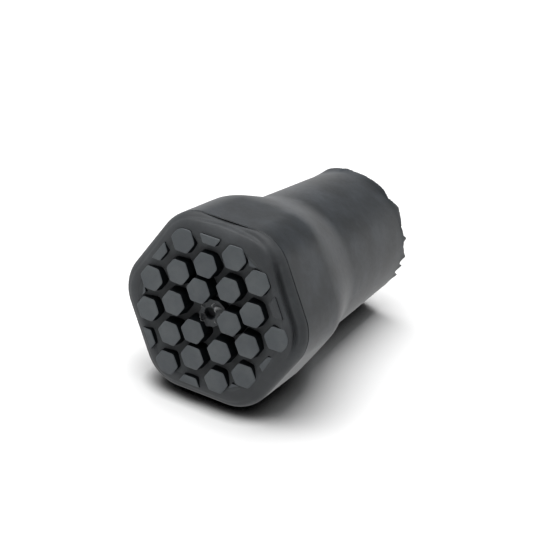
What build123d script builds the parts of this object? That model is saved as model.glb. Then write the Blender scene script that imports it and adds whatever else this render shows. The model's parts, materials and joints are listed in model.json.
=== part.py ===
from build123d import *
import os
from math import atan2, ceil, cos, pi, radians, sin, sqrt

# Rubber cane tip, moulded in one piece: a six-sided foot with a honeycomb tread, a shoulder that
# turns from six sides to round, and a tapered shank with a blind socket for the cane.
# Lengths are in millimetres. Depths run from the plane of the tread blocks back into the shank.
# The tip lies on its side, on one flat of the foot and on the edge of its mouth.

# Foot
foot_across_flats = 33.9
foot_corner_radius = 8.0
parting_depth = 3.6
parting_groove_width = 0.3
parting_groove_depth = 0.25
face_rounding_width = 4.0
foot_side_length = 12.0
heel_across_flats = 33.5
heel_corner_radius = 9.0

# Shoulder and shank
shoulder_length = 14.4
shank_length = 24.0
neck_diameter = 28.8
mouth_diameter = 26.6

# Socket for the cane
socket_diameter = 19.0
socket_depth = 39.0
socket_lead_in = 0.8
socket_floor_bevel = 1.0

# Tread blocks and the dished floor that they stand on
block_pitch = 6.0
block_across_flats = 4.9
block_stand = 0.3
inner_block_setback = 1.1
tread_across_flats = 29.4
dish_depth = 2.4
dish_diameter = 29.2

# Hub at the middle of the tread, with a blind hole a little off the axis and the moulding gate's mark
hub_diameter = 5.0
hub_sink = 0.9
hub_hole_diameter = 2.2
hub_hole_depth = 1.6
hub_hole_offset = 0.15
hub_hole_angle = 200
gate_mark_diameter = 1.1
gate_mark_depth = 0.5
gate_mark_offset = 1.8
gate_mark_angle = 138

# Ragged edge left by trimming round the mouth
flash_thickness = 1.1
flash_height = 3.0

# Room past a surface for cuts, and the depth that a joined piece runs into the body
overrun = 1.0
bury = 0.3

# Angles of a six-sided outline, and the bow of its sides where they make a full circle
full_turn = 360
side_count = 6
side_angle = full_turn / side_count
half_side_angle = side_angle / 2
full_crown = half_side_angle / 2

# Sections through the shoulder, as shares of its length
shoulder_shares = [0, 1 / 3, 2 / 3, 1]
# Sections through the rounded edge of the face, as shares of a quarter turn
face_rounding_shares = [0, 0.35, 0.7, 1]
# Line of the trimmed edge: place round the mouth, and how much of its height is left there
flash_edge_shares = [
    (0.008, 0.78),
    (0.022, 0.1),
    (0.04, 0.28),
    (0.053, 0.4),
    (0.06, 0.16),
    (0.075, 0.6),
    (0.1, 0.9),
    (0.13, 0.7),
    (0.18, 0.85),
    (0.24, 0.92),
    (0.28, 0.8),
    (0.3, 0.45),
    (0.34, 0.7),
    (0.38, 0.62),
    (0.4, 0.9),
    (0.45, 0.55),
    (0.47, 0.2),
    (0.51, 0.5),
    (0.56, 0.75),
    (0.6, 0.6),
    (0.64, 0.85),
    (0.69, 1),
    (0.711, 0.82),
    (0.722, 0.95),
    (0.78, 0.84),
    (0.828, 0.6),
    (0.853, 0.38),
    (0.866, 0.62),
    (0.886, 1),
    (0.906, 0.7),
    (0.931, 0.3),
    (0.953, 0.45),
    (0.96, 0.66),
    (0.99, 0.6),
]

# Places along the axis
groove_front_depth = parting_depth - parting_groove_width / 2
groove_back_depth = parting_depth + parting_groove_width / 2
heel_depth = parting_depth + foot_side_length
neck_depth = heel_depth + shoulder_length
mouth_depth = neck_depth + shank_length
tip_length = mouth_depth + flash_height
socket_floor_depth = mouth_depth - socket_depth

# Half widths
foot_apothem = foot_across_flats / 2
heel_apothem = heel_across_flats / 2
neck_radius = neck_diameter / 2
mouth_radius = mouth_diameter / 2
socket_radius = socket_diameter / 2
tread_apothem = tread_across_flats / 2
tread_corner_radius = foot_corner_radius - foot_apothem + tread_apothem
block_root_depth = dish_depth + bury
dish_radius = dish_diameter / 2
dish_rise = dish_depth - block_stand
dish_ball_radius = (dish_radius**2 + dish_rise**2) / (2 * dish_rise)
flash_inner_radius = mouth_radius - flash_thickness

# Slopes of the straight stretches, which the shoulder takes up
side_slope = (heel_apothem - foot_apothem) / (heel_depth - groove_back_depth)
corner_slope = (heel_corner_radius - foot_corner_radius) / (heel_depth - groove_back_depth)
shank_slope = (mouth_radius - neck_radius) / shank_length

# The tip leans by the angle that puts its heel and its mouth on the same floor
lie_angle = atan2(heel_apothem - mouth_radius, tip_length - heel_depth)
axis_direction = Vector(0, cos(lie_angle), -sin(lie_angle))
face_height = heel_apothem * cos(lie_angle) + heel_depth * sin(lie_angle)
tip_plane = Plane(origin=(0, 0, face_height), x_dir=(1, 0, 0), z_dir=axis_direction)
mouth_plane = tip_plane.offset(mouth_depth)
tip_axis = Axis(tip_plane.origin, tip_plane.z_dir)
section_plane = Plane(origin=tip_plane.origin, x_dir=tip_plane.x_dir, z_dir=-tip_plane.y_dir)


def polar(radius, angle):
    """Point at a radius and an angle in degrees."""
    return Vector(radius * cos(radians(angle)), radius * sin(radians(angle)))


def between(start, end, share):
    """Value at a share of the way from start to end."""
    return start + (end - start) * share


def crowned_hexagon(apothem, corner_radius, crown=0):
    """Outline with six sides, each bowed out by the crown angle, and tangent corner arcs.

    With a corner radius equal to the apothem it is a circle of twelve arcs.
    """
    half_crown = radians(crown / 2)
    corner_reach = (apothem - corner_radius) * cos(half_crown) / sin(radians(side_angle) + half_crown)
    with BuildLine() as outline:
        for side in range(side_count):
            flat_angle = half_side_angle + side * side_angle
            corner_angle = flat_angle + half_side_angle
            corner_before = polar(corner_reach, flat_angle - half_side_angle)
            corner_after = polar(corner_reach, corner_angle)
            flat_start = corner_before + polar(corner_radius, flat_angle - crown)
            flat_end = corner_after + polar(corner_radius, flat_angle + crown)
            corner_end = corner_after + polar(corner_radius, flat_angle + side_angle - crown)
            if crown:
                ThreePointArc(flat_start, polar(apothem, flat_angle), flat_end)
            else:
                Line(flat_start, flat_end)
            ThreePointArc(flat_end, polar(corner_reach + corner_radius, corner_angle), corner_end)
    return outline.edges()


def reach_to_flats(place):
    """Largest distance of a place from the axis, measured square to the six flats."""
    flat_angles = [half_side_angle + side * side_angle for side in range(side_count)]
    return max(place.dot(polar(1, angle)) for angle in flat_angles)


def tread_block_places():
    """Centres of the blocks: a honeycomb with its gap on the axis, and its inner three set back."""
    steps = ceil(foot_apothem / block_pitch) + 1
    inner_radius = block_pitch / sqrt(3)
    places = []
    for row in range(-steps, steps + 1):
        for step in range(-steps, steps + 1):
            across = polar(block_pitch * row, half_side_angle)
            along = polar(block_pitch * step, half_side_angle + side_angle)
            place = polar(inner_radius, 0) + across + along
            if place.length < block_pitch:
                place = place * (1 + inner_block_setback / inner_radius)
            if reach_to_flats(place) < tread_apothem + block_across_flats / 2:
                places.append(place)
    return places


def blend(start, start_slope, end, end_slope, share):
    """Smooth curve along the shoulder that leaves and arrives at the given slopes."""
    rise = start * (1 + 2 * share) * (1 - share) ** 2 + end * share**2 * (3 - 2 * share)
    run = start_slope * share * (1 - share) ** 2 - end_slope * share**2 * (1 - share)
    return rise + run * shoulder_length


# Thin edge round the mouth, cut off above its ragged line
with BuildPart() as trimmed_edge:
    with BuildSketch(mouth_plane):
        Circle(mouth_radius)
        Circle(flash_inner_radius, mode=Mode.SUBTRACT)
    extrude(amount=flash_height)
    first_turn_share, first_height_share = flash_edge_shares[0]
    edge_ends = [*flash_edge_shares[1:], (first_turn_share + 1, first_height_share)]
    for (turn, height_share), (next_turn, next_height_share) in zip(flash_edge_shares, edge_ends):
        outward = tip_plane.x_dir.rotate(tip_axis, full_turn * (turn + next_turn) / 2)
        half_width = mouth_radius * sin(pi * (next_turn - turn))
        trim_height = flash_height + overrun
        trim_start = mouth_plane.origin + outward * (flash_inner_radius - overrun)
        trim_plane = Plane(origin=trim_start, x_dir=axis_direction.cross(outward), z_dir=outward)
        with BuildSketch(trim_plane):
            with BuildLine():
                Polyline(
                    (-half_width, height_share * flash_height),
                    (half_width, next_height_share * flash_height),
                    (half_width, trim_height),
                    (-half_width, trim_height),
                    close=True,
                )
            make_face()
    extrude(amount=flash_thickness + 2 * overrun, mode=Mode.SUBTRACT)

with BuildPart() as rubber_tip:
    # Straight sides of the foot
    with BuildSketch(tip_plane.offset(groove_back_depth)):
        make_face(crowned_hexagon(foot_apothem, foot_corner_radius))
    with BuildSketch(tip_plane.offset(heel_depth)):
        make_face(crowned_hexagon(heel_apothem, heel_corner_radius))
    loft()

    # Shoulder, smooth with the foot at one end and the shank at the other
    for share in shoulder_shares:
        depth = between(heel_depth, neck_depth, share)
        apothem = blend(heel_apothem, side_slope, neck_radius, shank_slope, share)
        corner_radius = blend(heel_corner_radius, corner_slope, neck_radius, shank_slope, share)
        with BuildSketch(tip_plane.offset(depth)):
            make_face(crowned_hexagon(apothem, corner_radius, full_crown * share))
    loft()

    # Tapered shank
    with BuildSketch(section_plane):
        with BuildLine():
            Polyline(
                (0, neck_depth),
                (neck_radius, neck_depth),
                (mouth_radius, mouth_depth),
                (0, mouth_depth),
                close=True,
            )
        make_face()
    revolve(axis=tip_axis)

    # Fine groove along the parting line, at the widest part of the foot
    with BuildSketch(tip_plane.offset(groove_front_depth)):
        groove_radius = foot_corner_radius - parting_groove_depth
        make_face(crowned_hexagon(foot_apothem - parting_groove_depth, groove_radius))
    extrude(amount=parting_groove_width)

    # Front of the foot, rounded from the parting line in to the face
    for share in face_rounding_shares:
        inset = face_rounding_width * (1 - sin(share * pi / 2))
        depth = between(block_stand, groove_front_depth, 1 - cos(share * pi / 2))
        with BuildSketch(tip_plane.offset(depth)):
            make_face(crowned_hexagon(foot_apothem - inset, foot_corner_radius - inset))
    loft()

    # Dished floor of the tread, deepest at the middle
    with Locations(tip_plane.offset(dish_depth - dish_ball_radius)):
        Sphere(dish_ball_radius, mode=Mode.SUBTRACT)

    # Tread blocks, cut off along the border of the tread
    with BuildSketch(tip_plane):
        with Locations(*tread_block_places()):
            RegularPolygon(block_across_flats / 2, side_count, major_radius=False)
        make_face(crowned_hexagon(tread_apothem, tread_corner_radius), mode=Mode.INTERSECT)
    extrude(amount=block_root_depth)

    # Hub with its blind hole, and the gate mark beside the hole
    with BuildSketch(tip_plane.offset(hub_sink)):
        Circle(hub_diameter / 2)
    extrude(amount=block_root_depth - hub_sink)
    with BuildSketch(tip_plane):
        with Locations(polar(hub_hole_offset, hub_hole_angle)):
            Circle(hub_hole_diameter / 2)
    extrude(amount=hub_sink + hub_hole_depth, mode=Mode.SUBTRACT)
    with BuildSketch(tip_plane):
        with Locations(polar(gate_mark_offset, gate_mark_angle)):
            Circle(gate_mark_diameter / 2)
    extrude(amount=hub_sink + gate_mark_depth, mode=Mode.SUBTRACT)

    # Trimmed edge round the mouth
    add(trimmed_edge.part)

    # Blind socket with a lead-in at its mouth and a bevel round its floor
    with BuildSketch(section_plane):
        with BuildLine():
            Polyline(
                (0, socket_floor_depth),
                (socket_radius - socket_floor_bevel, socket_floor_depth),
                (socket_radius, socket_floor_depth + socket_floor_bevel),
                (socket_radius, mouth_depth - socket_lead_in),
                (socket_radius + socket_lead_in, mouth_depth),
                (socket_radius + socket_lead_in, mouth_depth + overrun),
                (0, mouth_depth + overrun),
                close=True,
            )
        make_face()
    revolve(axis=tip_axis, mode=Mode.SUBTRACT)

# Set down on the floor, centred over the origin
tip_box = rubber_tip.part.bounding_box()
rubber_tip.part.move(Location((0, -tip_box.center().Y, -tip_box.min.Z)))

os.makedirs("parts", exist_ok=True)
rubber_tip.part.label = "rubber_tip"
export_step(rubber_tip.part, "parts/rubber_tip.step")
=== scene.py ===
"""Looks of a moulded rubber cane tip that lies on its side on a white studio floor.

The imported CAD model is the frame. One closed skin stands for it, with the ragged trimming, the
softened edges, the worn tread and the rubber finish that the photograph shows.
"""

import json
import logging
import math
from dataclasses import dataclass
from enum import IntEnum
from typing import Any

import bpy
import numpy as np
from bpy.types import Material, Mesh, Node, NodeSocket, NodeTree, Object
from mathutils import Matrix, Vector
from numpy import ndarray

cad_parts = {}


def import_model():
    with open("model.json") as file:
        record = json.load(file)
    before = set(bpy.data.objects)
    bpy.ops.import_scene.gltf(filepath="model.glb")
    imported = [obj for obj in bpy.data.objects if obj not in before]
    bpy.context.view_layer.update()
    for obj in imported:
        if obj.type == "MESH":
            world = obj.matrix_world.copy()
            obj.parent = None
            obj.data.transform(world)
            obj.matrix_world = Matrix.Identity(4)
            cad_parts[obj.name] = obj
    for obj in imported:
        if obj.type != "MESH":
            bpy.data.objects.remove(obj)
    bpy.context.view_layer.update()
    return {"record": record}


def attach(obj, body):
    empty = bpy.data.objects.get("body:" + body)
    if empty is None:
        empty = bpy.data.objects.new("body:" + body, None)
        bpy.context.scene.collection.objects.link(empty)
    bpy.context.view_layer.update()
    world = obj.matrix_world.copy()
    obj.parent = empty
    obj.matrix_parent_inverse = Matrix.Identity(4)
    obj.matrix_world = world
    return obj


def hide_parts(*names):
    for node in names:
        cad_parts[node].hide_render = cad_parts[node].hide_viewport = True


MM = 0.001
SIDES = 6
SIDE_TURN = math.tau / SIDES
# Bow of half a side where six bowed sides make a full circle
FULL_CROWN = SIDE_TURN / 4
SEED = 11

Colour = Point = tuple[float, float, float]

log = logging.getLogger("cane_tip")


class Surface(IntEnum):
    """Parts of the skin that have a finish of their own, in the order of the material slots."""

    MOULDED = 0
    BORDER = 1
    WORN = 2
    # Walls deep in the grooves and round the hub, painted near-black as shade
    GROOVE_WALL = 3
    GROOVE_FLOOR = 4
    TRIMMED = 5


@dataclass(frozen=True)
class TipAxes:
    """The tip's own axes: the middle of its face, across it, up it, and in along the shank."""

    centre: ndarray
    across: ndarray
    up: ndarray
    inward: ndarray

    @classmethod
    def from_record(cls, record: dict[str, Any]) -> "TipAxes":
        """Works the axes out from the record's socket and tread.

        Args:
            record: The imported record.

        Returns:
            The axes in the row frame.
        """
        mounts = {mount["name"]: mount for mount in record["mounts"]}
        inward = np.array(mounts["cane_socket"]["axis"], float)
        inward /= np.linalg.norm(inward)
        bore = np.array(mounts["cane_socket"]["pos_m"], float)
        tread = np.array(mounts["tread"]["pos_m"], float)
        centre = bore + inward * ((tread - bore) @ inward)
        across = np.array((1.0, 0.0, 0.0))
        return cls(centre, across, np.cross(across, inward), inward)

    def place(self, x: ndarray, up: ndarray, depth: ndarray) -> ndarray:
        """Turns the tip's own millimetres into points: centre + x across + up up + depth inward.

        Args:
            x: Distances to the right, as seen from the tread.
            up: Distances up the face.
            depth: Distances in from the plane of the tread.

        Returns:
            Points in metres, with one more axis of length 3.
        """
        x, up, depth = np.broadcast_arrays(x, up, depth)
        steps = x[..., None] * self.across + up[..., None] * self.up
        steps = steps + depth[..., None] * self.inward
        return self.centre + MM * steps


@dataclass(frozen=True)
class Swell:
    """A bell-shaped change round the axis: its middle and width in degrees, and its height."""

    middle: float
    width: float
    height: float
    power: int = 2

    def at(self, turn: ndarray) -> ndarray:
        """Height at each angle: height exp(-(d / width)^power), d taken the short way round."""
        off = np.mod(turn - math.radians(self.middle) + math.pi, math.tau) - math.pi
        return self.height * np.exp(-((off / math.radians(self.width)) ** self.power))


Swells = tuple[Swell, ...]


@dataclass(frozen=True)
class FootSizes:
    """Six-sided foot with its dished face, its border and its heel, in millimetres.

    The groove and the valley have a base share of their depth, and swells that add to it. The
    valley's shift moves its line, and its pull draws the border in.
    """

    apothem: float = 16.95
    corner_radius: float = 8.0
    dish_depth: float = 2.4
    dish_radius: float = 14.6
    dish_power: float = 3.0
    rounding_width: float = 4.0
    border_stand: float = 0.3
    crease: float = 0.12
    groove_front: float = 3.45
    groove_back: float = 3.75
    groove_depth: float = 0.25
    groove_base: float = 0.4
    groove_swells: Swells = (Swell(15, 34, 0.6), Swell(62, 9, -0.3), Swell(95, 24, 0.1, power=4))
    valley_inset: float = 1.4
    valley_shift: Swells = (Swell(92, 34, -1.15),)
    valley_inner_width: float = 0.28
    valley_outer_width: float = 0.5
    valley_depth: float = 1.1
    valley_base: float = 0.06
    valley_swells: Swells = (Swell(24, 29, 0.94, power=6), Swell(89, 25, 0.55, power=4))
    valley_pull: float = 0.6
    heel_depth: float = 15.6
    heel_apothem: float = 16.75
    heel_corner_radius: float = 9.0

    def floor(self, radius: ndarray) -> ndarray:
        """Depth of the dished floor, which rises by (radius / dish_radius)^dish_power."""
        share = np.minimum(radius / self.dish_radius, 1) ** self.dish_power
        return self.dish_depth - (self.dish_depth - self.border_stand) * share


@dataclass(frozen=True)
class HubSizes:
    """Sunk hub at the middle of the tread, its blind hole and the gate's crater, in millimetres."""

    radius: float = 2.5
    spread: float = 0.7
    spread_swells: Swells = (Swell(35, 50, 1.0), Swell(165, 30, -0.9))
    sink: float = 0.9
    brim_waves: tuple[int, ...] = (2, 3, 5, 11)
    brim_raggedness: float = 0.12
    brim_rounding: float = 0.12
    floor_gap: float = 0.08
    top_waves: tuple[int, ...] = (2, 3, 5, 9, 14)
    top_unevenness: float = 0.07
    hole_radius: float = 1.1
    hole_clearance: float = 0.033
    hole_depth: float = 1.6
    hole_offset: float = 0.15
    hole_turn: float = math.radians(160)
    lip_sink: float = 0.12
    lip_width: float = 0.08
    gate_radius: float = 0.55
    gate_depth: float = 0.5
    gate_edge: float = 0.06
    gate_offset: float = 1.65
    gate_turn: float = math.radians(222)

    def brim(self, turn: ndarray) -> ndarray:
        """Radius of the hub, which spreads to the upper right and is cut short on the left."""
        torn = self.brim_raggedness * ripple(turn, self.brim_waves, SEED + 2)
        return self.radius + self.spread * swelling(self.spread_swells, turn) + torn


@dataclass(frozen=True)
class ShankSizes:
    """Round shank, its trimmed edge and the socket for the cane, in millimetres."""

    neck_depth: float = 30.0
    neck_radius: float = 14.4
    mouth_depth: float = 54.0
    mouth_radius: float = 13.3
    edge_inner_radius: float = 12.2
    edge_height: float = 3.0
    edge_least: float = 0.1
    edge_waves: tuple[int, ...] = (31, 47, 73, 101)
    edge_raggedness: float = 0.16
    edge_rounding: float = 0.12
    edge_flares: Swells = (
        Swell(118, 8, 0.5), Swell(104, 9, 0.42), Swell(62, 12, 0.3), Swell(25, 9, 0.2),
        Swell(13, 3, 0.2), Swell(-4.5, 2.5, 0.25), Swell(-13.5, 2.5, 0.25),
        Swell(-24, 3, 0.3), Swell(270, 60, -0.15),
    )
    socket_radius: float = 9.5
    lead_in: float = 0.8
    floor_depth: float = 15.0
    floor_bevel: float = 1.0


@dataclass(frozen=True)
class BlockSizes:
    """Honeycomb of tread blocks, in millimetres.

    The blocks in merged, by their angle in degrees, are sunk so far that they run into the border.
    One sunk past dive_from also dips outwards by the slope dive. A shallower one that lost more
    than unworn_from to the border looks like the border.
    """

    pitch: float = 6.0
    apothem: float = 2.16
    dome: float = 0.5
    dome_radius: float = 13.0
    inner_setback: float = 1.1
    border_apothem: float = 14.4
    border_corner_reach: float = 16.0
    least_left: float = 0.3
    least_reach: float = 0.05
    least_radius: float = 0.02
    corner_power: int = 18
    top_scales: tuple[float, ...] = (0.4, 0.75, 0.92)
    edge: float = 0.16
    edge_rows: int = 6
    wall_depths: tuple[float, ...] = (0.8, 1.6, 2.75)
    draft: float = 0.14
    sink_range: tuple[float, float] = (0.01, 0.07)
    tilt_spread: float = 0.004
    merged: tuple[tuple[float, float], ...] = (
        (-120, 0.12), (-74, 0.16), (-60, 0.34), (-46, 0.18), (-23, 0.5),
        (0, 0.16), (23, 0.12), (60, 0.34), (180, 0.34),
    )
    merged_reach: float = 5.0
    dive_from: float = 0.3
    dive: float = 0.3
    unworn_from: float = 1.0


# Line of the trimmed edge: share of a turn clockwise from the right, and of its height left
TRIM_SHARES = np.array(
    (
        (0.0, 0.8), (0.0125, 1.0), (0.018, 0.5), (0.028, 0.46), (0.037, 0.95), (0.042, 0.46),
        (0.052, 0.36), (0.066, 1.0), (0.073, 0.7), (0.1, 0.6), (0.122, 0.5), (0.15, 0.75),
        (0.18, 0.85), (0.24, 0.92), (0.28, 0.8), (0.3, 0.45), (0.34, 0.7), (0.38, 0.62),
        (0.4, 0.9), (0.45, 0.55), (0.47, 0.2), (0.51, 0.5), (0.56, 0.75), (0.6, 0.6),
        (0.64, 0.85), (0.69, 1.0), (0.711, 0.82), (0.722, 0.95), (0.78, 0.84), (0.828, 0.6),
        (0.853, 0.38), (0.866, 0.62), (0.886, 1.0), (0.906, 0.7), (0.931, 0.3), (0.953, 0.45),
        (0.963, 0.8), (0.97, 0.5), (0.985, 0.55),
    )
)
# Rings of the hub's hole from its floor up: millimetres in from its wall, and above its floor
HOLE_RINGS = np.array(
    ((0.75, 0), (0.4, 0), (0.15, 0), (0.04, 0.05), (0, 0.2), (0, 0.6), (0, 1.0), (0, 1.3))
)
# Rings down the hub's side: millimetres out from its brim, and below its top
BRIM_RINGS = np.array(((-0.04, 0.04), (0, 0.14), (0.01, 0.6), (0.03, 1.1)))
# Rings of the parting groove: share of its width, and share of its depth
GROOVE_RINGS = np.array(
    ((0.04, 0.35), (0.2, 0.85), (0.4, 1.0), (0.6, 1.0), (0.8, 0.85), (0.96, 0.35))
)
# Rings up the outside of the trimmed edge: shares of its height
EDGE_CLIMB = np.array((0.15, 0.35, 0.55, 0.75, 0.9, 0.98))[:, None]
# Rings along the crest of the trimmed edge: share of its thickness, and share of its height
EDGE_CREST = np.array(((0.8, 1.0), (0.5, 0.985), (0.2, 0.96)))
# Rings down the inside of the trimmed edge: shares of its height
EDGE_FALL = np.array((0.9, 0.7, 0.4, 0.12))[:, None]


def swelling(swells: Swells, turn: ndarray) -> ndarray:
    """Adds swells up at each angle, in radians."""
    return sum(swell.at(turn) for swell in swells)


def ripple(turn: ndarray, waves: tuple[int, ...], seed: int) -> ndarray:
    """Sum of sines with whole numbers of waves round the axis, scaled to about -1 to 1.

    Args:
        turn: Angles in radians.
        waves: Number of waves of each sine.
        seed: Seed of the phases.

    Returns:
        The sum at each angle.
    """
    phases = np.random.default_rng(seed).uniform(0, math.tau, len(waves))
    angles = np.multiply.outer(np.array(waves), turn) + phases[:, None]
    return np.sin(angles).sum(axis=0) / math.sqrt(len(waves))


def turns_round(count: int) -> ndarray:
    """Evenly spaced angles round the axis, in radians from 0."""
    return np.arange(count) * (math.tau / count)


def directions(turn: ndarray) -> ndarray:
    """Unit vectors across and up the face at each angle."""
    return np.stack((np.cos(turn), np.sin(turn)), axis=-1)


# Directions of the six flats, and of the flats and then the corners
FLATS = directions(SIDE_TURN / 2 + turns_round(SIDES))
BORDERS = np.concatenate((FLATS, directions(turns_round(SIDES))))


def shares(rows: int, skip_first: bool = False) -> ndarray:
    """Column of even shares from 0 to 1, or from the next one on, for a band's rows."""
    return np.linspace(0, 1, rows + skip_first)[int(skip_first) :, None]


def hexagon_reach(turn: ndarray, apothem: Any, corner: Any, crown: Any = 0.0) -> ndarray:
    """Radius of a six-sided outline with bowed sides and corner arcs, at each angle.

    With d the angle from the middle of the nearest flat, e = 30 deg - d, b the crown and
    c = (apothem - corner) cos(b/2) / sin(60 deg + b/2), the side is
    a cos(d) + sqrt(R^2 - a^2 sin(d)^2), where R = corner + c / (2 sin(b)) and a = apothem - R, and
    the corner is c cos(e) + sqrt(corner^2 - c^2 sin(e)^2).

    Args:
        turn: Angles round the axis in radians.
        apothem: Distances to the flats.
        corner: Radii of the corners.
        crown: Angles by which each half side bows.

    Returns:
        The radii.
    """
    straight = 1e-3
    half_side = SIDE_TURN / 2
    bow = np.maximum(crown, straight)
    off_flat = np.abs(np.mod(turn, SIDE_TURN) - half_side)
    off_corner = half_side - off_flat
    centre = (apothem - corner) * np.cos(bow / 2) / np.sin(SIDE_TURN + bow / 2)
    side_radius = corner + centre * np.sin(half_side) / np.sin(bow)
    side_centre = apothem - side_radius
    side = side_centre * np.cos(off_flat)
    side = side + np.sqrt(side_radius**2 - (side_centre * np.sin(off_flat)) ** 2)
    arc = centre * np.cos(off_corner)
    arc = arc + np.sqrt(np.maximum(corner**2 - (centre * np.sin(off_corner)) ** 2, 0))
    switch = np.arctan2(
        centre * np.sin(half_side) + corner * np.sin(bow),
        centre * np.cos(half_side) + corner * np.cos(bow),
    )
    return np.where(off_flat < switch, side, arc)


def hermite(ends: tuple[float, float], slopes: tuple[float, float], run: float, share: Any) -> Any:
    """Cubic between two values that leaves and arrives at given slopes.

    With t the share: a (1 + 2t)(1 - t)^2 + b t^2 (3 - 2t) + run (p t (1 - t)^2 - q t^2 (1 - t)).

    Args:
        ends: Values a and b at the shares 0 and 1.
        slopes: Slopes p and q there.
        run: Length that the curve spans.
        share: Places along it, from 0 to 1.

    Returns:
        The values there.
    """
    rest = 1 - share
    rise = ends[0] * (1 + 2 * share) * rest**2 + ends[1] * share**2 * (3 - 2 * share)
    return rise + run * (slopes[0] * share * rest**2 - slopes[1] * share**2 * rest)


def soft_max(first: ndarray, second: Any, width: float) -> ndarray:
    """Larger of two values, with a crease of the width w: (a + b + sqrt((a - b)^2 + w^2)) / 2."""
    return (first + second + np.sqrt((first - second) ** 2 + width**2)) / 2


def mesh_from_arrays(
    name: str, points: ndarray, quads: ndarray, tris: ndarray, finish: ndarray
) -> Mesh:
    """Fills a mesh from whole arrays.

    Args:
        name: Name of the mesh.
        points: Points in metres.
        quads: Corners of the four-sided faces.
        tris: Corners of the three-sided faces.
        finish: Material number of each face, quads first.

    Returns:
        The new mesh.
    """
    mesh = bpy.data.meshes.new(name)
    corners = np.concatenate((quads.ravel(), tris.ravel())).astype(np.int32)
    quad_starts = np.arange(len(quads)) * 4
    tri_starts = len(quads) * 4 + np.arange(len(tris)) * 3
    starts = np.concatenate((quad_starts, tri_starts)).astype(np.int32)
    mesh.vertices.add(len(points))
    mesh.vertices.foreach_set("co", points.astype(np.float32).ravel())
    mesh.loops.add(len(corners))
    mesh.loops.foreach_set("vertex_index", corners)
    mesh.polygons.add(len(starts))
    mesh.polygons.foreach_set("loop_start", starts)
    mesh.polygons.foreach_set("material_index", finish.astype(np.int32))
    mesh.update(calc_edges=True)
    mesh.validate()
    return mesh


def closed_rings(name: str, rings: ndarray, poles: ndarray, row_finish: ndarray) -> Mesh:
    """Joins stacks of rings into closed skins, each with a fan to a pole at both ends.

    Args:
        name: Name of the mesh.
        rings: Points, by stack, row and turn.
        poles: Both poles of each stack.
        row_finish: Material numbers of the first fan and of the faces behind each row, by stack.

    Returns:
        One mesh with every stack in it.
    """
    stacks, rows, turns, _ = rings.shape
    cells = np.arange(rows * turns).reshape(rows, turns)
    ahead = np.roll(cells, -1, axis=1)
    quads = np.stack((cells[:-1], cells[1:], ahead[1:], ahead[:-1]), axis=-1).reshape(-1, 4)
    first = np.full(turns, rows * turns)
    front = np.stack((first, cells[0], ahead[0]), axis=-1)
    back = np.stack((cells[-1], first + 1, ahead[-1]), axis=-1)
    tris = np.concatenate((front, back))
    offsets = np.arange(stacks)[:, None, None] * (rows * turns + len(poles[0]))
    points = np.concatenate((rings.reshape(stacks, -1, 3), poles), axis=1)
    quad_finish = np.repeat(row_finish[:, 1:-1], turns, axis=1)
    tri_finish = np.repeat(row_finish[:, [0, -1]], turns, axis=1)
    return mesh_from_arrays(
        name,
        points.reshape(-1, 3),
        (quads + offsets).reshape(-1, 4),
        (tris + offsets).reshape(-1, 3),
        np.concatenate((quad_finish.ravel(), tri_finish.ravel())),
    )


@dataclass(frozen=True)
class Band:
    """Rows of rings round the axis, or round a middle of their own, that share one finish."""

    radius: ndarray
    depth: ndarray
    surface: Surface = Surface.MOULDED
    middle: tuple[float, float] = (0.0, 0.0)


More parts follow.
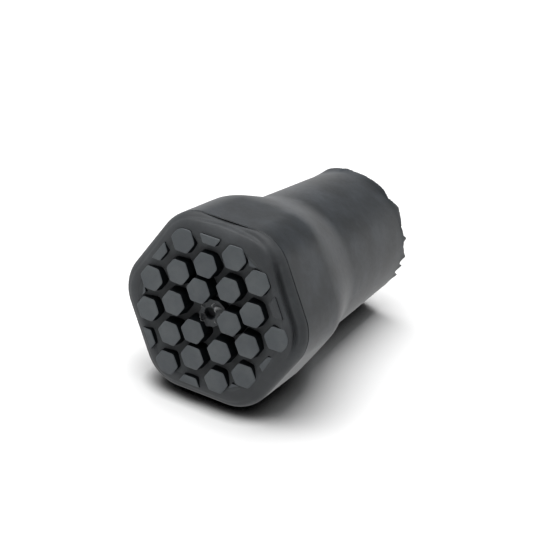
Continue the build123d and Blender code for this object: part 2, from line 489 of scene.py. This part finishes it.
@dataclass(frozen=True)
class TipSkin:
    """Moulded skin: hub, dished floor, rounded border, foot, shoulder, shank and socket."""

    axes: TipAxes
    foot_sizes: FootSizes = FootSizes()
    hub_sizes: HubSizes = HubSizes()
    shank_sizes: ShankSizes = ShankSizes()
    turns: int = 384
    hub_rows: int = 18
    floor_rows: int = 26
    rounding_rows: int = 33
    side_rows: int = 12
    shoulder_rows: int = 30
    shank_rows: int = 14

    @property
    def turn(self) -> ndarray:
        """Angles of the points of each ring."""
        return turns_round(self.turns)

    def hub(self) -> list[Band]:
        """Blind hole, the top of the hub with the gate's crater, and the hub's side.

        Returns:
            The three bands.
        """
        h = self.hub_sizes
        inset, rise = HOLE_RINGS.T[:, :, None]
        hole = Band(
            h.hole_radius - inset,
            h.sink + h.hole_depth - rise,
            middle=(h.hole_offset * math.cos(h.hole_turn), h.hole_offset * math.sin(h.hole_turn)),
        )
        share = shares(self.hub_rows)
        brim = h.brim(self.turn)
        start = h.hole_radius + h.hole_clearance
        radius = start + (brim - h.brim_rounding - start) * share
        x = radius * np.cos(self.turn) - h.gate_offset * math.cos(h.gate_turn)
        up = radius * np.sin(self.turn) - h.gate_offset * math.sin(h.gate_turn)
        crater = h.gate_depth / (1 + np.exp((np.hypot(x, up) - h.gate_radius) / h.gate_edge))
        lip = h.lip_sink * np.exp(-(((radius - h.hole_radius) / h.lip_width) ** 2))
        waves = h.top_unevenness * ripple(self.turn, h.top_waves, SEED) * np.sin(share * math.pi)
        top = Band(radius, h.sink + crater + lip + waves, Surface.GROOVE_FLOOR)
        out, down = BRIM_RINGS.T[:, :, None]
        # The hub's side is painted near-black as shade, like the groove walls
        return [hole, top, Band(brim + out, h.sink + down, Surface.GROOVE_WALL)]

    def face(self) -> list[Band]:
        """Dished floor out to the border, and the border rounded over to the parting line.

        Returns:
            Both bands.
        """
        f = self.foot_sizes
        share = shares(self.floor_rows)
        start = self.hub_sizes.brim(self.turn) + self.hub_sizes.floor_gap
        inner = f.apothem - f.rounding_width
        end = hexagon_reach(self.turn, inner, f.corner_radius - f.rounding_width)
        radius = start * (1 - share) + end * share
        depth = soft_max(f.floor(radius), f.border_stand, f.crease)
        floor = Band(radius, depth, Surface.GROOVE_FLOOR)
        quarter = shares(self.rounding_rows, skip_first=True) * math.pi / 2
        inset = f.rounding_width * (1 - np.sin(quarter))
        drop = f.border_stand + (f.groove_front - f.border_stand) * (1 - np.cos(quarter))
        dip = self.valley(inset)
        radius = hexagon_reach(self.turn, f.apothem - inset, f.corner_radius - inset)
        depth = soft_max(f.floor(radius), drop + dip, f.crease)
        return [floor, Band(radius - f.valley_pull * dip, depth, Surface.BORDER)]

    def valley(self, inset: ndarray) -> ndarray:
        """Depth of the border's shallow valley, a bell across its line, plain on two flats.

        Args:
            inset: Distances in from the foot's outline, by row.

        Returns:
            The depths, by row and turn.
        """
        f = self.foot_sizes
        line = f.valley_inset + swelling(f.valley_shift, self.turn)
        width = np.where(inset > line, f.valley_inner_width, f.valley_outer_width)
        share = f.valley_base + swelling(f.valley_swells, self.turn)
        return f.valley_depth * np.exp(-(((inset - line) / width) ** 2)) * share

    def sides(self) -> list[Band]:
        """Parting groove and the drafted sides of the foot.

        Returns:
            Both bands.
        """
        f = self.foot_sizes
        width, depth = GROOVE_RINGS.T[:, :, None]
        cut = depth * f.groove_depth * (f.groove_base + swelling(f.groove_swells, self.turn))
        groove = Band(
            hexagon_reach(self.turn, f.apothem, f.corner_radius) - cut,
            f.groove_front + (f.groove_back - f.groove_front) * width,
        )
        share = shares(self.side_rows)
        apothem = f.apothem + (f.heel_apothem - f.apothem) * share
        corner = f.corner_radius + (f.heel_corner_radius - f.corner_radius) * share
        depth = f.groove_back + (f.heel_depth - f.groove_back) * share
        side = Band(hexagon_reach(self.turn, apothem, corner), depth)
        return [groove, side]

    def shoulder(self) -> Band:
        """Shoulder that turns from six sides to round, and leaves and arrives without a kink.

        Returns:
            The band.
        """
        f, s = self.foot_sizes, self.shank_sizes
        run = f.heel_depth - f.groove_back
        length = s.neck_depth - f.heel_depth
        taper = (s.mouth_radius - s.neck_radius) / (s.mouth_depth - s.neck_depth)
        draft = (f.heel_apothem - f.apothem) / run
        opening = (f.heel_corner_radius - f.corner_radius) / run
        share = shares(self.shoulder_rows, skip_first=True)
        apothem = hermite((f.heel_apothem, s.neck_radius), (draft, taper), length, share)
        corner = hermite((f.heel_corner_radius, s.neck_radius), (opening, taper), length, share)
        corner = np.minimum(corner, apothem)
        radius = hexagon_reach(self.turn, apothem, corner, FULL_CROWN * share)
        return Band(radius, f.heel_depth + length * share)

    def mouth(self) -> list[Band]:
        """Tapered shank, and the ragged edge that trimming left round its mouth.

        With t the share of the edge's height, its outside flares by flare t^2 and is rounded in by
        edge_rounding t^6, and its inside flares by flare t^2.

        Returns:
            The shank, and the outside, the crest and the inside of the edge.
        """
        s = self.shank_sizes
        share = shares(self.shank_rows, skip_first=True)
        shank = Band(
            s.neck_radius + (s.mouth_radius - s.neck_radius) * share,
            s.neck_depth + (s.mouth_depth - s.neck_depth) * share,
        )
        around = np.mod(-self.turn / math.tau, 1)
        left = s.edge_height * np.interp(around, TRIM_SHARES[:, 0], TRIM_SHARES[:, 1], period=1)
        torn = np.abs(ripple(self.turn, s.edge_waves, SEED + 1)) * s.edge_raggedness
        height = np.maximum(left - torn, s.edge_least)
        flare = swelling(s.edge_flares, self.turn)
        outside = Band(
            s.mouth_radius + flare * EDGE_CLIMB**2 - s.edge_rounding * EDGE_CLIMB**6,
            s.mouth_depth + height * EDGE_CLIMB,
        )
        thick, high = EDGE_CREST.T[:, :, None]
        crest = Band(
            s.edge_inner_radius + flare + (s.mouth_radius - s.edge_inner_radius) * thick,
            s.mouth_depth + height * high,
            Surface.TRIMMED,
        )
        inside = Band(
            s.edge_inner_radius + flare * EDGE_FALL**2,
            s.mouth_depth + height * EDGE_FALL,
        )
        return [shank, outside, crest, inside]

    def socket(self) -> Band:
        """Land of the mouth, lead-in, wall, bevel and floor of the blind socket.

        Returns:
            The band.
        """
        s = self.shank_sizes
        wall = s.socket_radius
        top = s.mouth_depth - s.lead_in
        foot = s.floor_depth + s.floor_bevel
        third = (top - foot) / 3
        profile = np.array(
            (
                (s.edge_inner_radius, s.mouth_depth), (wall + s.lead_in, s.mouth_depth),
                (wall, top), (wall, top - third), (wall, foot + third), (wall, foot),
                (wall - s.floor_bevel, s.floor_depth), (wall / 2, s.floor_depth),
            )
        )
        return Band(*profile.T[:, :, None])

    def build(self) -> Mesh:
        """Stacks the bands from the hole's floor, over foot and mouth, to the socket's floor.

        A row of a band is x = r cos(turn), up = r sin(turn), with its own depth.

        Returns:
            The closed skin.
        """
        bands = self.hub() + self.face() + self.sides() + [self.shoulder()]
        bands += self.mouth() + [self.socket()]
        first, last = bands[0], bands[-1]
        x = np.vstack([band.radius * np.cos(self.turn) + band.middle[0] for band in bands])
        up = np.vstack([band.radius * np.sin(self.turn) + band.middle[1] for band in bands])
        depth = np.vstack([band.depth + np.zeros(self.turns) for band in bands])
        rows = np.concatenate([np.full(len(band.depth), band.surface) for band in bands])
        middles = np.array((first.middle, last.middle))
        ends = np.array((first.depth[0, 0], last.depth[-1, 0]))
        poles = self.axes.place(*middles.T, ends)
        rings = self.axes.place(x, up, depth)
        finish = np.concatenate((rows[:1], rows))
        return closed_rings("tip_skin", rings[None], poles[None], finish[None])


@dataclass(frozen=True)
class TreadBlocks:
    """Honeycomb of six-sided blocks, cut off along the border of the tread."""

    axes: TipAxes
    sizes: BlockSizes = BlockSizes()
    turns: int = 72
    lattice_steps: int = 5

    def centres(self) -> ndarray:
        """Centres of the blocks: a honeycomb with its gap on the axis, its inner three set back.

        Returns:
            The centres, one a row.
        """
        b = self.sizes
        steps = np.arange(-self.lattice_steps, self.lattice_steps + 1)
        rows, columns = np.meshgrid(steps, steps, indexing="ij")
        inner = b.pitch / math.sqrt(3)
        grid = rows[..., None] * FLATS[0] + columns[..., None] * FLATS[1]
        places = (b.pitch * grid).reshape(-1, 2) + (inner, 0.0)
        away = np.linalg.norm(places, axis=1)
        places = places * np.where(away < b.pitch, 1 + b.inner_setback / inner, 1)[:, None]
        reach = (places @ FLATS.T).max(axis=1)
        return places[reach < b.border_apothem + b.apothem - b.least_left]

    def outlines(self, centres: ndarray, turn: ndarray) -> tuple[ndarray, ndarray, ndarray]:
        """What is left of each block inside the border.

        An outline is the soft cut of half planes, (sum of max(0, d.n / a)^q)^(-1/q).

        Args:
            centres: Centres of the whole blocks.
            turn: Angles of the outlines' points.

        Returns:
            The middle of what is left, its radius at each angle, and how much the border takes.
        """
        b = self.sizes
        border = np.repeat((b.border_apothem, b.border_corner_reach), SIDES)
        over = np.maximum(centres @ BORDERS.T + b.apothem - border, 0)
        middles = centres - (over[:, :, None] * BORDERS).sum(axis=1) / 2
        own = b.apothem - (middles - centres) @ FLATS.T
        rest = border - middles @ BORDERS.T
        normals = np.concatenate((FLATS, BORDERS))
        reach = np.maximum(np.concatenate((own, rest), axis=1), b.least_reach)
        facing = directions(turn) @ normals.T
        ratio = np.maximum(facing[None], 0) / reach[:, None, :]
        radius = (ratio**b.corner_power).sum(axis=-1) ** (-1 / b.corner_power)
        return middles, radius, over.max(axis=1)

    def merged(self, middles: ndarray) -> ndarray:
        """How far each block is sunk to run into the border, in the outer row only.

        Args:
            middles: Middles of the blocks.

        Returns:
            Millimetres, 0 for the blocks that stand clear.
        """
        b = self.sizes
        table = np.array(b.merged)
        turn = np.degrees(np.arctan2(middles[:, 1], middles[:, 0]))
        off = np.mod(turn[:, None] - table[:, 0] + 180, 360) - 180
        outer = np.linalg.norm(middles, axis=1) > 2 * b.pitch
        return ((np.abs(off) < b.merged_reach) * table[:, 1]).sum(axis=1) * outer

    def build(self) -> Mesh:
        """Lays a rounded top, a drafted wall and a sunk root round the middle of each block.

        A top lies on the dome -dome (1 - (r / dome_radius)^2), leans along it and is uneven. Its
        edge is a quarter round, and the wall spreads by the draft.

        Returns:
            All the blocks, each a closed skin.
        """
        b = self.sizes
        turn = turns_round(self.turns)
        middles, outline, lost = self.outlines(self.centres(), turn)
        away = np.linalg.norm(middles, axis=1)
        merged = self.merged(middles)
        chance = np.random.default_rng(SEED)
        sunk = chance.uniform(*b.sink_range, len(middles)) + merged
        sunk = sunk - b.dome * np.maximum(1 - (away / b.dome_radius) ** 2, 0)
        tilt = chance.normal(0, b.tilt_spread, middles.shape)
        tilt = tilt + 2 * b.dome / b.dome_radius**2 * middles
        tilt = tilt + (merged > b.dive_from)[:, None] * b.dive * middles / away[:, None]

        flat = np.zeros(len(b.top_scales))
        quarter = np.linspace(0, math.pi / 2, b.edge_rows)
        wall = np.array(b.wall_depths)
        top_rows = len(flat) + len(quarter)
        depth = np.concatenate((flat, b.edge * (1 - np.cos(quarter)), wall))[:, None]
        inset = np.concatenate((flat + b.edge, b.edge * (1 - np.sin(quarter)), -b.draft * wall))
        scale = np.concatenate((b.top_scales, np.ones(len(quarter) + len(wall))))
        on_top = np.concatenate((np.ones(top_rows), np.zeros(len(wall))))[:, None]

        radius = (outline[:, None, :] - inset[:, None]) * scale[:, None]
        radius = np.maximum(radius, b.least_radius)
        x = radius * np.cos(turn)
        up = radius * np.sin(turn)
        lean = x * tilt[:, 0, None, None] + up * tilt[:, 1, None, None]
        level = depth + np.maximum(sunk[:, None, None] + lean, -b.dome) * on_top
        middle_x, middle_up = middles.T[:, :, None]
        rings = self.axes.place(x + middle_x[..., None], up + middle_up[..., None], level)
        ends = np.stack((sunk, np.full(len(sunk), wall[-1])), axis=1)
        poles = self.axes.place(middle_x, middle_up, ends)

        flush = (lost > b.unworn_from) & (merged > 0) & (merged < b.dive_from)
        tops = np.where(flush, Surface.BORDER, Surface.WORN)
        # The block walls are painted near-black as the shade deep in the grooves
        walls = np.full((len(tops), len(wall) + 1), Surface.GROOVE_WALL)
        finish = np.concatenate((np.repeat(tops[:, None], top_rows, axis=1), walls), axis=1)
        return closed_rings("tread_blocks", rings, poles, finish)


@dataclass(frozen=True)
class TornSlivers:
    """Slivers of torn rubber that stand up round the hole of the hub, in millimetres."""

    axes: TipAxes
    hub_sizes: HubSizes = HubSizes()
    rows: int = 9
    turns: int = 8
    arch: float = 0.4
    bend: float = 0.2
    sunk_end: float = 0.1
    blunt: float = 0.1
    # Start across and up the face, angle in degrees, length and half thickness
    slivers = np.array(
        (
            (0.75, 0.95, 25, 1.6, 0.3), (1.15, 0.55, 65, 1.2, 0.22),
            (2.0, 0.75, -30, 0.9, 0.1), (0.45, 1.3, 75, 1.0, 0.1),
            (-0.75, -1.75, 150, 1.1, 0.07), (-1.9, -0.75, -75, 0.9, 0.06),
            (1.0, -1.0, -40, 0.8, 0.07), (-1.25, 0.8, 130, 0.8, 0.08),
        )
    )

    def build(self) -> Mesh:
        """Carries a tapering ring along each arched sliver.

        With t from 0 to 1, it runs length t along its angle, bends sideways by
        bend length sin(pi t) and rises from its sunk ends by arch sin(pi t). The ring's radius is
        thickness sin(pi (blunt + (1 - 2 blunt) t)).

        Returns:
            All the slivers, each a closed skin.
        """
        x, up, angle, length, thick = self.slivers.T[:, :, None, None]
        angle = np.radians(angle)
        share = shares(self.rows)
        turn = turns_round(self.turns)
        wave = np.sin(math.pi * share)
        ring = thick * np.sin(math.pi * (self.blunt + (1 - 2 * self.blunt) * share))
        side = self.bend * length * wave + ring * np.cos(turn)
        level = self.hub_sizes.sink + self.sunk_end - (self.arch + self.sunk_end) * wave
        rings = self.axes.place(
            x + length * share * np.cos(angle) - side * np.sin(angle),
            up + length * share * np.sin(angle) + side * np.cos(angle),
            level + ring * np.sin(turn),
        )
        poles = rings[:, [0, -1]].mean(axis=2)
        finish = np.full((len(rings), self.rows + 1), Surface.TRIMMED)
        return closed_rings("torn_slivers", rings, poles, finish)


@dataclass(frozen=True)
class Graph:
    """Short calls for laying out a node tree."""

    tree: NodeTree
    span_inputs: tuple[str, ...] = ("Value", "From Min", "From Max", "To Min", "To Max")

    def __post_init__(self) -> None:
        """Takes the default nodes out of the tree."""
        self.tree.nodes.clear()

    def node(self, kind: str, inputs: dict[Any, Any] | None = None, **settings: Any) -> Any:
        """Adds a node, and links or sets its inputs.

        Args:
            kind: The node's type name.
            inputs: Values or other nodes' outputs, by the input's name or number.
            **settings: The node's own settings.

        Returns:
            The new node.
        """
        node = self.tree.nodes.new(kind)
        for name, value in settings.items():
            setattr(node, name, value)
        for key, value in (inputs or {}).items():
            socket = self.socket(node, key)
            if isinstance(value, NodeSocket):
                self.tree.links.new(value, socket)
            else:
                socket.default_value = value
        return node

    def mix(self, factor: Any, first: Any, second: Any, kind: str = "RGBA") -> Any:
        """Mixes two colours or values, the second one by the factor."""
        inputs = {"Factor": factor, "A": first, "B": second}
        return self.node("ShaderNodeMix", inputs, data_type=kind).outputs["Result"]

    def span(self, value: Any, low: float, high: float, ends: Any = (0.0, 1.0), **more: Any) -> Any:
        """Maps a value from the range low to high onto both ends, with the node's own settings."""
        inputs = dict(zip(self.span_inputs, (value, low, high, *ends)))
        return self.node("ShaderNodeMapRange", inputs, **more).outputs[0]

    def math(self, operation: str, first: Any, second: Any) -> Any:
        """Works one value out from two by a math node's operation."""
        return self.node("ShaderNodeMath", {0: first, 1: second}, operation=operation).outputs[0]

    def noise(self, vector: Any, scale: float, detail: float, roughness: float) -> Any:
        """Noise from 0 to 1 with so many cells in a unit of the vector."""
        inputs = {"Vector": vector, "Scale": scale, "Detail": detail, "Roughness": roughness}
        return self.node("ShaderNodeTexNoise", inputs).outputs["Fac"]

    @staticmethod
    def socket(node: Node, key: Any) -> NodeSocket:
        """Finds an input of a node by its number, or the shown one by its name."""
        shown = (socket for socket in node.inputs if socket.enabled and socket.name == key)
        return node.inputs[key] if isinstance(key, int) else next(shown)


def new_group(name: str, inputs: dict[str, str], outputs: dict[str, str]) -> tuple[Graph, Any]:
    """Makes an empty shader node group with its sockets.

    Args:
        name: Name of the group.
        inputs: Socket types by input name.
        outputs: Socket types by output name.

    Returns:
        The group's graph, and the outputs of its input node.
    """
    tree = bpy.data.node_groups.new(name, "ShaderNodeTree")
    for side, sockets in (("INPUT", inputs), ("OUTPUT", outputs)):
        for socket, kind in sockets.items():
            tree.interface.new_socket(socket, in_out=side, socket_type=kind)
    graph = Graph(tree)
    return graph, graph.node("NodeGroupInput").outputs


def mottle_group() -> NodeTree:
    """Uneven rubber colour: a body with soft lighter bloom and finer darker patches.

    Returns:
        The node group.
    """
    colours = {key: "NodeSocketColor" for key in ("Body", "Bloom", "Soil")}
    graph, given = new_group(
        "rubber_mottle",
        {"Vector": "NodeSocketVector", **colours},
        {"Color": "NodeSocketColor", "Patch": "NodeSocketFloat"},
    )
    broad = graph.noise(given["Vector"], scale=0.16, detail=3.0, roughness=0.55)
    fine = graph.noise(given["Vector"], scale=1.1, detail=6.0, roughness=0.65)
    bloom = graph.span(broad, low=0.4, high=0.68)
    dark_tone = graph.span(fine, low=0.52, high=0.8, ends=(0.0, 0.35))
    light = graph.mix(bloom, given["Body"], given["Bloom"])
    dark = graph.mix(dark_tone, light, given["Soil"])
    graph.node("NodeGroupOutput", {"Color": dark, "Patch": fine})
    return graph.tree


def grain_group() -> NodeTree:
    """Fine moulded grain over slow waves, as a bumped normal.

    Returns:
        The node group.
    """
    wave_height = 5.0
    graph, given = new_group(
        "rubber_grain",
        {"Vector": "NodeSocketVector", "Height": "NodeSocketFloat"},
        {"Normal": "NodeSocketVector"},
    )
    grain = graph.noise(given["Vector"], scale=3.2, detail=5.0, roughness=0.6)
    waves = graph.noise(given["Vector"], scale=0.35, detail=2.0, roughness=0.5)
    both = graph.math("ADD", grain, graph.math("MULTIPLY", waves, wave_height))
    bumped = graph.node(
        "ShaderNodeBump", {"Strength": 1.0, "Distance": given["Height"], "Height": both}
    )
    graph.node("NodeGroupOutput", {"Normal": bumped.outputs["Normal"]})
    return graph.tree


@dataclass(frozen=True)
class RubberFinish:
    """One rubber surface: its colours, roughness, shine and grain, with lengths in millimetres.

    Where it has a floor_depth, it is painted darker as shade from shade_from down to that depth.
    """

    name: str
    body: Colour
    bloom: Colour
    # Darker tone of the mottle; where floor_depth is set, also the colour of the painted shade
    dark_tone: Colour
    roughness: float = 0.62
    roughness_spread: float = 0.05
    specular: float = 0.28
    grain: float = 0.012
    shade_from: float = 0.45
    floor_depth: float = 0.0

    def material(self, axes: TipAxes, mottle: Any, grain: Any) -> Material:
        """Makes the material, mottled and grained on object coordinates, with painted shade by
        depth.

        Args:
            axes: The tip's axes.
            mottle: Node group of the colour.
            grain: Node group of the normal.

        Returns:
            The new material.
        """
        material = bpy.data.materials.new(self.name)
        material.use_nodes = True
        graph = Graph(material.node_tree)
        place = graph.node("ShaderNodeTexCoord").outputs["Object"]
        scaled = {"Vector": place, "Scale": (1 / MM,) * 3}
        in_mm = {"Vector": graph.node("ShaderNodeMapping", scaled).outputs[0]}
        colours = {"Body": self.body, "Bloom": self.bloom, "Soil": self.dark_tone}
        dyes = {key: opaque(colour) for key, colour in colours.items()}
        tint = graph.node("ShaderNodeGroup", in_mm | dyes, node_tree=mottle).outputs
        height = {"Height": self.grain * MM}
        bump = graph.node("ShaderNodeGroup", in_mm | height, node_tree=grain).outputs
        colour = tint["Color"]
        # Painted shade: the colour goes to the dark tone deeper in the dish
        if self.floor_depth:
            steps = {0: place, 1: tuple(axes.centre)}
            inward = graph.node("ShaderNodeVectorMath", steps, operation="SUBTRACT").outputs[0]
            steps = {0: inward, 1: tuple(axes.inward)}
            depth = graph.node("ShaderNodeVectorMath", steps, operation="DOT_PRODUCT")
            low, high = self.shade_from * MM, self.floor_depth * MM
            painted_depth_shade = graph.span(depth.outputs["Value"], low, high)
            colour = graph.mix(painted_depth_shade, colour, opaque(self.dark_tone))
        ends = (self.roughness - self.roughness_spread, self.roughness + self.roughness_spread)
        shader = graph.node(
            "ShaderNodeBsdfPrincipled",
            {
                "Base Color": colour,
                "Roughness": graph.span(tint["Patch"], 0.0, 1.0, ends),
                "Specular IOR Level": self.specular,
                "Normal": bump["Normal"],
            },
        )
        graph.node("ShaderNodeOutputMaterial", {"Surface": shader.outputs[0]})
        return material


def opaque(colour: Colour) -> tuple[float, float, float, float]:
    """Adds full opacity to a colour, as a socket takes it."""
    return (*colour, 1.0)


RUBBER_FINISHES = {
    Surface.MOULDED: RubberFinish(
        "moulded_rubber", (0.0165, 0.0195, 0.0225), (0.033, 0.0385, 0.045), (0.013, 0.013, 0.016),
        roughness=0.44, specular=0.41, grain=0.005,
    ),
    Surface.BORDER: RubberFinish(
        "border_rubber", (0.044, 0.047, 0.05), (0.056, 0.06, 0.064), (0.034, 0.034, 0.04),
        roughness=0.55, specular=0.2,
    ),
    Surface.WORN: RubberFinish(
        "worn_rubber", (0.074, 0.082, 0.089), (0.095, 0.105, 0.11), (0.05, 0.053, 0.06),
        roughness=0.55,
    ),
    # Near-black: painted shade on the walls deep in the grooves
    Surface.GROOVE_WALL: RubberFinish(
        "groove_wall_rubber", (0.004, 0.005, 0.006), (0.005, 0.006, 0.007), (0.003, 0.004, 0.005),
        specular=0.05,
    ),
    # Its floor is painted darker with depth, as the shade deep in the dish
    Surface.GROOVE_FLOOR: RubberFinish(
        "groove_floor_rubber", (0.062, 0.066, 0.069), (0.07, 0.075, 0.078), (0.054, 0.057, 0.06),
        specular=0.15, floor_depth=2.6,
    ),
    Surface.TRIMMED: RubberFinish(
        "trimmed_rubber", (0.2, 0.207, 0.21), (0.26, 0.267, 0.27), (0.11, 0.114, 0.118),
        roughness=0.75, grain=0.04,
    ),
}


@dataclass(frozen=True)
class CaneTip:
    """The whole tip: skin, tread blocks and slivers joined into one closed piece of rubber."""

    axes: TipAxes
    crisp_angle: float = math.radians(40)

    def build(self) -> None:
        """Builds the pieces, each with every finish in its slots, and joins them."""
        given = (self.axes, mottle_group(), grain_group())
        materials = [RUBBER_FINISHES[surface].material(*given) for surface in Surface]
        pieces = []
        for part in (TipSkin, TreadBlocks, TornSlivers):
            mesh = part(self.axes).build()
            for material in materials:
                mesh.materials.append(material)
            pieces.append(bpy.data.objects.new(mesh.name, mesh))
            bpy.context.scene.collection.objects.link(pieces[-1])
            log.info("%s: %d faces", mesh.name, len(mesh.polygons))
        tip = self.union("cane_tip_rubber", *pieces)
        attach(tip, "root")
        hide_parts("rubber_tip")
        log.info("%s: %d faces", tip.name, len(tip.data.polygons))

    def union(self, name: str, base: Object, *others: Object) -> Object:
        """Joins closed pieces and shades the result smooth between its crisp edges.

        Args:
            name: Name of the joined piece.
            base: The piece that takes the joined mesh.
            *others: The other pieces, which are deleted.

        Returns:
            The base.
        """
        for other in others:
            join = base.modifiers.new(other.name, "BOOLEAN")
            join.operation = "UNION"
            join.solver = "MANIFOLD"
            join.object = other
        evaluated = base.evaluated_get(bpy.context.evaluated_depsgraph_get())
        mesh = bpy.data.meshes.new_from_object(evaluated)
        base.modifiers.clear()
        base.data = mesh
        base.name = name
        mesh.name = name
        for other in others:
            bpy.data.objects.remove(other)
        mesh.polygons.foreach_set("use_smooth", np.ones(len(mesh.polygons), bool))
        mesh.set_sharp_from_angle(angle=self.crisp_angle)
        return base


@dataclass(frozen=True)
class Softbox:
    """A square studio light: where it hangs, its width and its power."""

    name: str
    place: Point
    width: float
    power: float

    def hang(self, aim: Vector) -> None:
        """Adds the light to the scene.

        Args:
            aim: Point in metres that the light faces.
        """
        data = bpy.data.lights.new(self.name, "AREA")
        data.size = self.width
        data.energy = self.power
        light = bpy.data.objects.new(self.name, data)
        forward = (aim - Vector(self.place)).normalized()
        across = (Vector((1, 0, 0)) - forward * forward.x).normalized()
        turn = Matrix((across, across.cross(forward), -forward)).transposed().to_4x4()
        light.matrix_world = Matrix.Translation(self.place) @ turn
        bpy.context.scene.collection.objects.link(light)


@dataclass(frozen=True)
class Camera:
    """The photograph's camera: its place, aim, tilt, lens and near limit."""

    place: Point = (0.1183, -0.2468, 0.1533)
    aim: Point = (0.0072, -0.0202, 0.0262)
    roll: float = math.radians(6.75)
    lens: float = 107.2
    near: float = 0.01

    def set_up(self) -> None:
        """Adds the camera and makes it the scene's own."""
        forward = (Vector(self.aim) - Vector(self.place)).normalized()
        level = forward.cross(Vector((0, 0, 1))).normalized()
        above = level.cross(forward)
        right = level * math.cos(self.roll) + above * math.sin(self.roll)
        up = above * math.cos(self.roll) - level * math.sin(self.roll)
        data = bpy.data.cameras.new("camera")
        data.lens = self.lens
        data.clip_start = self.near
        camera = bpy.data.objects.new("camera", data)
        turn = Matrix((right, up, -forward)).transposed().to_4x4()
        camera.matrix_world = Matrix.Translation(self.place) @ turn
        bpy.context.scene.collection.objects.link(camera)
        bpy.context.scene.camera = camera


@dataclass(frozen=True)
class FloorFinish:
    """White floor, with a painted contact shadow under the tip, plain white far off, in metres."""

    white: Colour = (0.93, 0.93, 0.93)
    contact_shadow_black: Colour = (0.0, 0.0, 0.0)
    half_width: float = 3.0
    shadow_reach: tuple[float, float] = (0.15, 0.4)
    # Reach, occlusion range and samples of the painted contact shadow
    contact_reach: float = 0.004
    contact_range: tuple[float, float] = (0.25, 0.95)
    contact_samples: int = 8


@dataclass(frozen=True)
class SkyFinish:
    """Light from all round: what the rubber mirrors, and what lights it, by the way a ray goes."""

    front_glow: float = 0.6
    back_glow: float = 1.5
    glow_turn: tuple[float, float] = (-0.7, 0.3)
    zenith_glow: float = 0.12
    glow_height: tuple[float, float] = (0.04, 0.26)
    dome_foot: float = 0.03
    dome_top: float = 0.24
    dome_height: tuple[float, float] = (0.1, 0.7)


@dataclass(frozen=True)
class Studio:
    """White floor, soft lights and the camera."""

    floor_finish: FloorFinish = FloorFinish()
    sky_finish: SkyFinish = SkyFinish()
    camera: Camera = Camera()
    softboxes: tuple[Softbox, ...] = (
        Softbox("top_softbox", (-0.14, 0.04, 0.8), width=0.85, power=10.8),
        Softbox("left_softbox", (-0.4, -0.5, 0.5), width=0.35, power=0.7),
    )

    def build(self) -> None:
        """Lays the floor, hangs the lights and sets the camera up."""
        self.floor()
        self.world()
        aim = Vector(self.camera.aim)
        for softbox in self.softboxes:
            softbox.hang(aim)
        self.camera.set_up()
        bpy.context.scene.view_settings.view_transform = "Standard"
        log.info("studio: %d softboxes", len(self.softboxes))

    def floor(self) -> None:
        """Adds the plain white floor."""
        reach = self.floor_finish.half_width
        corners = reach * np.array(((-1, -1, 0), (1, -1, 0), (1, 1, 0), (-1, 1, 0)))
        no_tris = np.empty((0, 3), int)
        mesh = mesh_from_arrays("floor", corners, np.arange(4)[None], no_tris, np.zeros(1))
        mesh.materials.append(self.floor_material())
        floor = bpy.data.objects.new("floor", mesh)
        bpy.context.scene.collection.objects.link(floor)

    def floor_material(self) -> Material:
        """Makes a diffuse white that keeps the shadow, and is plain white to mirrored and far rays.

        Returns:
            The new material.
        """
        f = self.floor_finish
        material = bpy.data.materials.new("white_floor")
        material.use_nodes = True
        graph = Graph(material.node_tree)
        path = graph.node("ShaderNodeLightPath").outputs
        place = graph.node("ShaderNodeTexCoord").outputs["Object"]
        # Painted contact shadow: the floor's colour goes to black where the tip is close
        open_sky = graph.node(
            "ShaderNodeAmbientOcclusion", {"Distance": f.contact_reach}, samples=f.contact_samples
        )
        clear = graph.span(open_sky.outputs["AO"], *f.contact_range)
        floor_with_painted_shadow = graph.mix(clear, opaque(f.contact_shadow_black), opaque(f.white))
        paint = graph.node("ShaderNodeBsdfDiffuse", {"Color": floor_with_painted_shadow})
        glow = graph.node("ShaderNodeEmission", {"Color": (1, 1, 1, 1), "Strength": 1.0})
        away = graph.node("ShaderNodeVectorMath", {0: place}, operation="LENGTH").outputs["Value"]
        beyond = graph.span(away, *f.shadow_reach, interpolation_type="SMOOTHSTEP")
        mirrored = graph.math("MAXIMUM", path["Is Glossy Ray"], path["Is Transmission Ray"])
        seen = graph.math("MULTIPLY", path["Is Camera Ray"], beyond)
        share = graph.math("MAXIMUM", mirrored, seen)
        mixed = graph.node(
            "ShaderNodeMixShader", {0: share, 1: paint.outputs[0], 2: glow.outputs[0]}
        )
        graph.node("ShaderNodeOutputMaterial", {"Surface": mixed.outputs[0]})
        return material

    def world(self) -> None:
        """Lights the scene softly from above, and gives mirrored rays a bright horizon.

        Camera and transmission rays that pass the floor see plain white.
        """
        s = self.sky_finish
        soft = {"interpolation_type": "SMOOTHSTEP"}
        world = bpy.data.worlds.new("studio")
        world.use_nodes = True
        graph = Graph(world.node_tree)
        toward = graph.node("ShaderNodeTexCoord").outputs["Generated"]
        way = graph.node("ShaderNodeSeparateXYZ", {0: toward}).outputs
        horizon = graph.span(way["Y"], *s.glow_turn, ends=(s.front_glow, s.back_glow))
        mirrored = graph.span(way["Z"], *s.glow_height, ends=(horizon, s.zenith_glow), **soft)
        dome = graph.span(way["Z"], *s.dome_height, ends=(s.dome_foot, s.dome_top), **soft)
        path = graph.node("ShaderNodeLightPath").outputs
        lit = graph.mix(path["Is Glossy Ray"], dome, mirrored, kind="FLOAT")
        seen = graph.math("MAXIMUM", path["Is Camera Ray"], path["Is Transmission Ray"])
        strength = graph.mix(seen, lit, 1.0, kind="FLOAT")
        sky = graph.node("ShaderNodeBackground", {"Color": (1, 1, 1, 1), "Strength": strength})
        graph.node("ShaderNodeOutputWorld", {"Surface": sky.outputs[0]})
        bpy.context.scene.world = world


def main() -> None:
    """Loads the frame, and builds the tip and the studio."""
    logging.basicConfig(level=logging.INFO, format="%(message)s")
    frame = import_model()
    CaneTip(TipAxes.from_record(frame["record"])).build()
    Studio().build()


if __name__ == "__main__":
    main()
